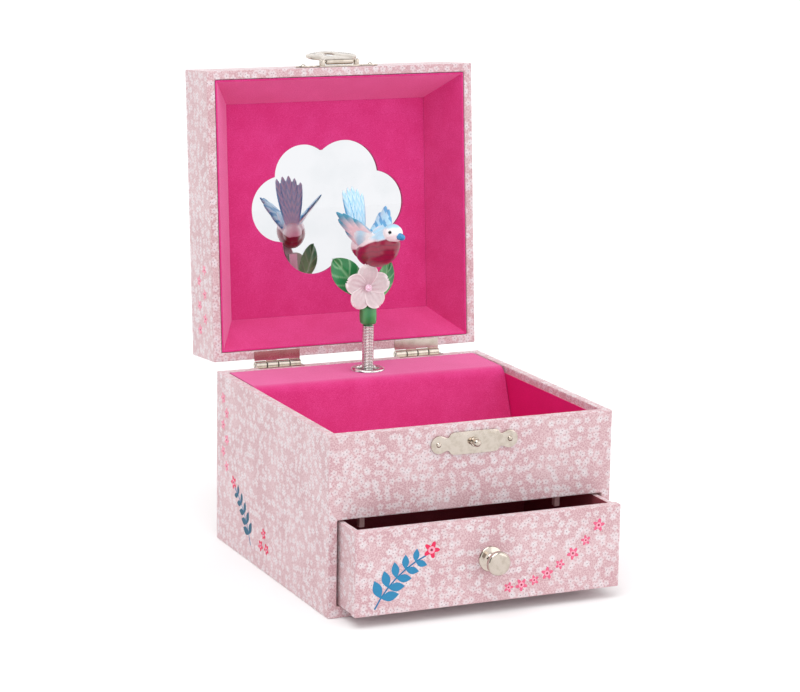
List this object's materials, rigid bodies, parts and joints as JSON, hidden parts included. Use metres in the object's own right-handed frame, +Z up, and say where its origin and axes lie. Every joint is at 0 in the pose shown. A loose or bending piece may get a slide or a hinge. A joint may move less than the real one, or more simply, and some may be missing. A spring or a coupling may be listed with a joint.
{
  "type": "musical jewellery box",
  "caption": "Square paper-covered jewellery box with drawer, flocked tray and hinged mirror lid; a bird on a flower turns on a spring stem over a wind-up musical movement.",
  "frame": {"origin": "centre of the case's base, on the surface it stands on", "axes": "+X to the right seen from the front, +Y to the back (hinge side), +Z up; the drawer opens towards -Y"},
  "size_m": [0.15, 0.2284, 0.2482],
  "materials": {
    "printed_paper": "matt coated paper over board, pale pink with a small printed pattern",
    "flock": "short magenta flock",
    "lining_paper": "smooth magenta lining paper",
    "nickel": "bright pale nickel plate",
    "steel": "bright spring steel",
    "zinc": "cast zinc, dull",
    "brass": "turned brass",
    "mirror": "silvered glass",
    "green_resin": "glossy green",
    "pink_resin": "glossy pale pink",
    "crystal": "clear faceted stone",
    "blue_resin": "painted light blue and white, satin"
  },
  "bodies": {
    "case": {"case_side_left": "printed_paper", "case_side_right": "printed_paper", "case_front": "printed_paper", "case_base": "printed_paper", "case_back": "printed_paper", "tray_floor": "printed_paper", "bay_partition": "printed_paper", "drawer_stop_left": "printed_paper", "drawer_stop_right": "printed_paper", "tray_lining_left": "lining_paper", "tray_lining_right": "lining_paper", "tray_lining_front": "lining_paper", "tray_pad": "flock", "mechanism_cover": "flock", "spindle_ferrule": "nickel", "strike_plate": "nickel", "strike_stud": "nickel", "strike_nail_left": "nickel", "strike_nail_right": "nickel", "hinge_leaf_case_left": "nickel", "hinge_leaf_case_right": "nickel", "hinge_pin_left": "nickel", "hinge_pin_right": "nickel", "movement_bedplate": "zinc", "comb": "steel", "comb_screw_1": "steel", "comb_screw_2": "steel", "spring_housing": "steel", "mainspring": "steel"},
    "lid": {"lid_top": "printed_paper", "lid_wall_front": "printed_paper", "lid_wall_back": "printed_paper", "lid_wall_left": "printed_paper", "lid_wall_right": "printed_paper", "lid_lining_sides": "flock", "lid_lining_panel": "flock", "lid_mirror": "mirror", "hinge_leaf_lid_left": "nickel", "hinge_leaf_lid_right": "nickel", "hasp_plate": "nickel", "hasp_pin": "nickel", "hasp_nail_left": "nickel", "hasp_nail_right": "nickel"},
    "hasp": {"hasp_flap": "nickel"},
    "drawer": {"drawer_front": "printed_paper", "drawer_side_left": "printed_paper", "drawer_side_right": "printed_paper", "drawer_back": "printed_paper", "drawer_bottom": "flock", "drawer_knob": "nickel"},
    "stem": {"stem_spring": "steel"},
    "figure": {"leaf_collar": "green_resin", "flower_head": "pink_resin", "flower_gem": "crystal", "bird": "blue_resin"},
    "cylinder": {"pinned_cylinder": "brass"},
    "key": {"great_wheel": "brass", "winding_key": "nickel"},
    "governor": {"governor_wheel": "brass"},
    "fly": {"air_fly": "steel"}
  },
  "joints": [
    {"name": "lid_hinge", "type": "hinge", "parent": "case", "child": "lid", "pos_m": [0, 0.0783, 0.08955], "axis": [1, 0, 0], "range_deg": [0, 94.33]},
    {"name": "hasp_hinge", "type": "hinge", "parent": "lid", "child": "hasp", "pos_m": [0, 0.09392, 0.24491], "axis": [1, 0, 0], "range_deg": [0, 166]},
    {"name": "drawer_slide", "type": "slide", "parent": "case", "child": "drawer", "axis": [0, -1, 0], "range_m": [-0.0204, 0.058]},
    {"name": "stem_bend", "type": "hinge", "parent": "case", "child": "stem", "pos_m": [0, 0.052, 0.0985], "axis": [1, 0, 0], "range_deg": [0, 105], "deforming": ["stem_spring"]},
    {"name": "figure_spin", "type": "hinge", "parent": "stem", "child": "figure", "pos_m": [0, 0.052, 0.0985], "axis": [0, 0, 1], "continuous": true},
    {"name": "cylinder_spin", "type": "hinge", "parent": "case", "child": "cylinder", "pos_m": [0, 0.052, 0.0668], "axis": [0, 0, 1], "continuous": true},
    {"name": "key_turn", "type": "hinge", "parent": "case", "child": "key", "pos_m": [0, 0.075, 0.0388], "axis": [0, 1, 0], "continuous": true},
    {"name": "governor_spin", "type": "hinge", "parent": "case", "child": "governor", "pos_m": [-0.012, 0.052, 0.0668], "axis": [0, 0, 1], "continuous": true},
    {"name": "fly_spin", "type": "hinge", "parent": "case", "child": "fly", "pos_m": [-0.0175, 0.052, 0.0668], "axis": [0, 1, 0], "continuous": true}
  ],
  "couplings": [
    {"joint": "stem_bend", "follows": "lid_hinge", "ratio": 1.113},
    {"joint": "figure_spin", "follows": "cylinder_spin", "ratio": 1},
    {"joint": "key_turn", "follows": "cylinder_spin", "ratio": -0.5},
    {"joint": "governor_spin", "follows": "cylinder_spin", "ratio": -3},
    {"joint": "fly_spin", "follows": "cylinder_spin", "ratio": -24}
  ]
}
